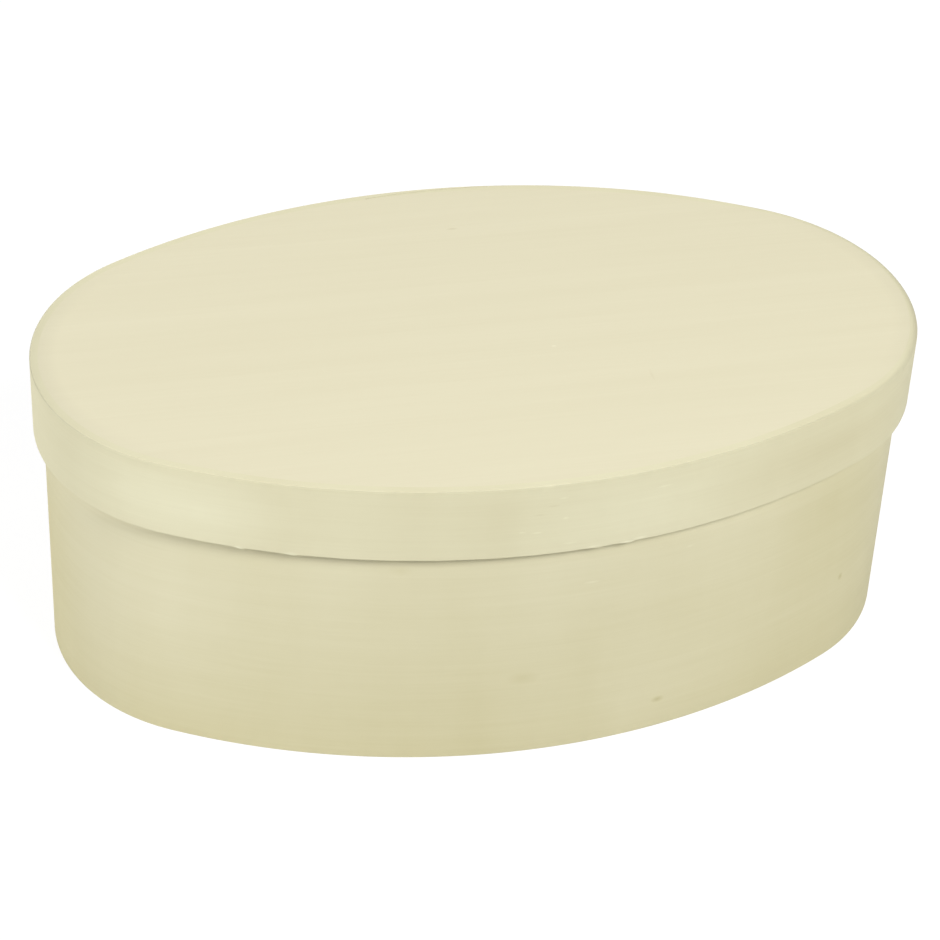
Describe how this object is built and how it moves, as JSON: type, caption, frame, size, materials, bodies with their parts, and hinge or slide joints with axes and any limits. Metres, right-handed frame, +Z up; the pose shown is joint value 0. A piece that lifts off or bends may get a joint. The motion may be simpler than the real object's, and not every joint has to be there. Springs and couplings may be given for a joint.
{
  "type": "oval wooden box",
  "caption": "Oval bentwood box of bare pale wood with a lift-off lid: thin strips bent round oval boards, lapped and glued, for keeping small things.",
  "frame": {"origin": "centre of the underside of the box", "axes": "+X along the length, +Y to the back, where the strips are lapped, +Z up"},
  "size_m": [0.2, 0.12, 0.075],
  "materials": {
    "board_wood": "bare pale hardwood, sanded, no varnish",
    "strip_wood": "bare pale hardwood strip, sanded, no varnish"
  },
  "bodies": {
    "base": {"base_board": "board_wood", "base_band": "strip_wood"},
    "lid": {"lid_board": "board_wood", "lid_band": "strip_wood"}
  },
  "joints": [
    {"name": "lid_lift", "type": "slide", "parent": "base", "child": "lid", "axis": [0, 0, 1], "range_m": [0, 0.1]}
  ]
}
